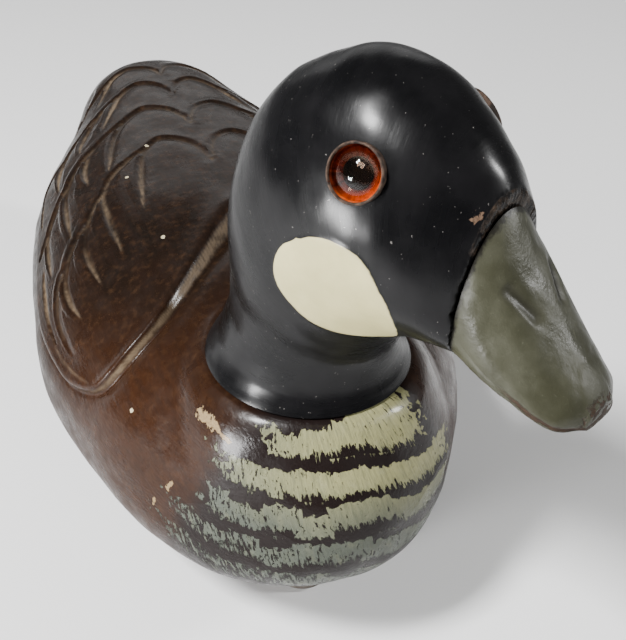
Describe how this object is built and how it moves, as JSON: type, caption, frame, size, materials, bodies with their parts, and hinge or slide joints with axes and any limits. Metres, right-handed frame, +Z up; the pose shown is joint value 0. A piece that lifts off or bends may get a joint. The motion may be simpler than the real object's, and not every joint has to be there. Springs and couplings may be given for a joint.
{
  "type": "duck decoy",
  "caption": "Hollow carved wooden duck decoy with a turned head, glass eyes, a fitted bill and a weighted keel that keeps it upright on water.",
  "frame": {"origin": "middle of the keel's flat underside, under the hull's middle plane", "axes": "+Z up, the bird faces -Y, its right side is towards -X; the head is stored turned 26 degrees to the bird's left"},
  "size_m": [0.1342, 0.2857, 0.1754],
  "materials": {
    "stained_wood": "dark stain under semi-gloss varnish",
    "keel_wood": "worn grey-brown stain",
    "plain_wood": "bare",
    "black_painted_wood": "semi-gloss black paint",
    "olive_painted_wood": "satin olive grey paint",
    "screw_brass": "dull",
    "lead": "dull cast lead",
    "bolt_steel": "zinc plated",
    "eye_glass": "clear amber",
    "eye_black": "black glass",
    "putty": "brown putty",
    "eye_wire": "plain wire"
  },
  "bodies": {
    "hull": {"body_shell": "stained_wood", "bottom_board": "stained_wood", "board_screws": "screw_brass", "keel": "keel_wood", "keel_screws": "screw_brass", "ballast_weight": "lead", "ballast_screws": "screw_brass", "neck_plug": "plain_wood"},
    "turning_head": {"head": "black_painted_wood", "bill": "olive_painted_wood", "bill_dowel": "plain_wood", "neck_dowel": "plain_wood", "neck_washer": "bolt_steel", "neck_bolt": "bolt_steel", "eye_glass_right": "eye_glass", "eye_glass_left": "eye_glass", "eye_pupil_right": "eye_black", "eye_pupil_left": "eye_black", "eye_wire_right": "eye_wire", "eye_wire_left": "eye_wire", "eye_putty_right": "putty", "eye_putty_left": "putty"}
  },
  "joints": [
    {"name": "head_turn", "type": "hinge", "parent": "hull", "child": "turning_head", "pos_m": [0, -0.058, 0.0863], "axis": [0, 0, 1], "continuous": true}
  ]
}
